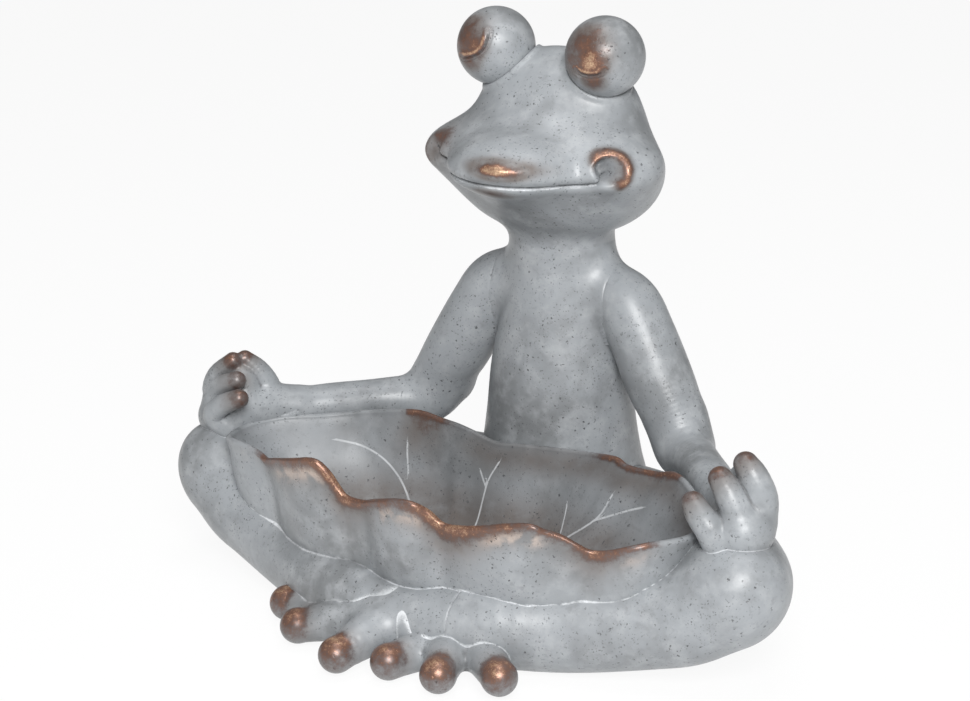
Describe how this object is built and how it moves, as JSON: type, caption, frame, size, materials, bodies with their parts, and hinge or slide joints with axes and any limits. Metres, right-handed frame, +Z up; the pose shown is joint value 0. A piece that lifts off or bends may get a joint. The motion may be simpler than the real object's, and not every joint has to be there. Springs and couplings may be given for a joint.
{
  "type": "frog figurine with leaf bowl",
  "caption": "Seated cross-legged frog garden figure with closed bulging eyes, hands resting on its knees and a ruffled oval leaf bowl in its lap.",
  "frame": {"origin": "centre of the torso's flat foot, on the ground plane", "axes": "+Z up, the frog looks along -Y, its left side is +X"},
  "size_m": [0.4096, 0.2714, 0.3334],
  "materials": {
    "painted_cast": "satin grey paint with copper rubbing",
    "leaf_cast": "satin grey paint, copper on the rim",
    "pin_steel": "plain"
  },
  "bodies": {
    "root": {"elbow_pins": "pin_steel", "eye_left": "painted_cast", "eye_right": "painted_cast", "foot_left": "painted_cast", "foot_right": "painted_cast", "forearm_left": "painted_cast", "forearm_right": "painted_cast", "hand_left": "painted_cast", "hand_right": "painted_cast", "head_shell": "painted_cast", "leaf_bowl": "leaf_cast", "leg_left": "painted_cast", "leg_right": "painted_cast", "neck_dowel": "pin_steel", "shoulder_pins": "pin_steel", "torso_shell": "painted_cast", "upper_arm_left": "painted_cast", "upper_arm_right": "painted_cast", "wrist_pins": "pin_steel"}
  },
  "joints": []
}
